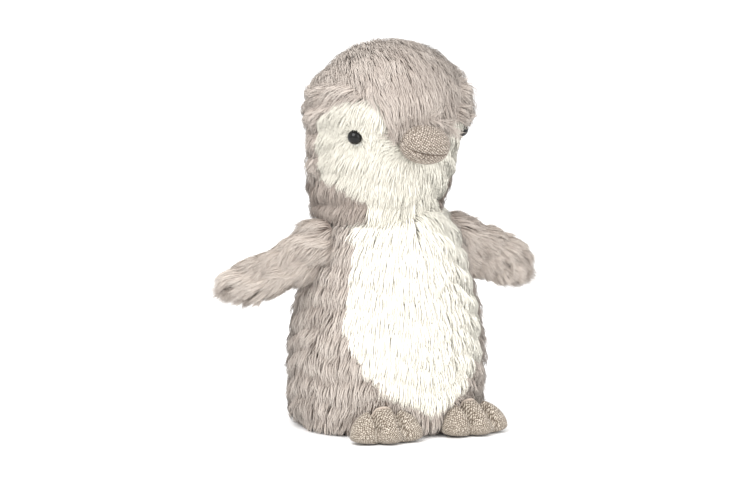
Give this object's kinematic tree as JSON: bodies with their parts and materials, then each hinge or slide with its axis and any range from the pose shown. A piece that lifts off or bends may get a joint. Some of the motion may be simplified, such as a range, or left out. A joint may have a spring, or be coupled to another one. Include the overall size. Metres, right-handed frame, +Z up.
{
  "type": "plush penguin",
  "caption": "Standing plush penguin with a round head, white face and belly, stuffed beak, flat wings held out and padded feet, weighted base.",
  "frame": {"origin": "middle of the flat base, on the surface that the penguin stands on", "axes": "+Z up, the penguin faces -Y, +X towards its left wing"},
  "size_m": [0.1874, 0.1088, 0.2],
  "materials": {
    "taupe_plush": "long-pile plush, taupe",
    "white_plush": "long-pile plush, warm white",
    "woven_linen": "coarse woven cloth with a pale metallic thread",
    "fibre_filling": "loose polyester fibre",
    "eye_bead": "black, glossy",
    "washer_plastic": "natural",
    "thread": "sewing thread",
    "pouch_cloth": "thin plain cloth",
    "pellets": "natural plastic beads"
  },
  "bodies": {
    "torso": {"back_panel_left": "taupe_plush", "back_panel_right": "taupe_plush", "belly_panel": "white_plush", "base_panel": "taupe_plush", "torso_stuffing": "fibre_filling", "bean_pouch": "pouch_cloth", "bean_pellets": "pellets"},
    "neck": {"neck_stuffing": "fibre_filling"},
    "head": {"crown_gusset": "taupe_plush", "head_side_left": "taupe_plush", "head_side_right": "taupe_plush", "face_panel_left": "white_plush", "face_panel_right": "white_plush", "head_stuffing": "fibre_filling", "beak_upper_panel": "woven_linen", "beak_lower_panel": "woven_linen", "beak_wadding": "fibre_filling", "eye_left": "eye_bead", "eye_right": "eye_bead", "eye_washer_left": "washer_plastic", "eye_washer_right": "washer_plastic"},
    "wing_left": {"wing_front_left": "taupe_plush", "wing_back_left": "taupe_plush", "wing_wadding_left": "fibre_filling"},
    "wing_right": {"wing_front_right": "taupe_plush", "wing_back_right": "taupe_plush", "wing_wadding_right": "fibre_filling"},
    "foot_left": {"foot_sole_left": "woven_linen", "foot_upper_left": "woven_linen", "foot_wadding_left": "fibre_filling", "toe_stitching_left": "thread"},
    "foot_right": {"foot_sole_right": "woven_linen", "foot_upper_right": "woven_linen", "foot_wadding_right": "fibre_filling", "toe_stitching_right": "thread"}
  },
  "joints": [
    {"name": "neck_turn", "type": "hinge", "parent": "torso", "child": "neck", "pos_m": [0, 0, 0.114], "axis": [0, 0, 1], "range_deg": [-35, 35], "stiffness_Nm_per_rad": 0.3},
    {"name": "neck_nod", "type": "hinge", "parent": "neck", "child": "head", "pos_m": [0, 0, 0.114], "axis": [1, 0, 0], "range_deg": [-10, 10], "stiffness_Nm_per_rad": 0.3},
    {"name": "wing_left_flap", "type": "hinge", "parent": "torso", "child": "wing_left", "pos_m": [0.0475, 0.002, 0.092], "axis": [0.1219, -0.9925, 0], "range_deg": [-15, 50], "stiffness_Nm_per_rad": 0.04},
    {"name": "wing_right_flap", "type": "hinge", "parent": "torso", "child": "wing_right", "pos_m": [-0.0475, 0.002, 0.092], "axis": [0.1219, 0.9925, 0], "range_deg": [-15, 50], "stiffness_Nm_per_rad": 0.04},
    {"name": "foot_left_flex", "type": "hinge", "parent": "torso", "child": "foot_left", "pos_m": [0.0245, -0.043, 0.016], "axis": [-1, 0, 0], "range_deg": [0, 20], "stiffness_Nm_per_rad": 0.02},
    {"name": "foot_right_flex", "type": "hinge", "parent": "torso", "child": "foot_right", "pos_m": [-0.0245, -0.043, 0.016], "axis": [-1, 0, 0], "range_deg": [0, 20], "stiffness_Nm_per_rad": 0.02}
  ]
}
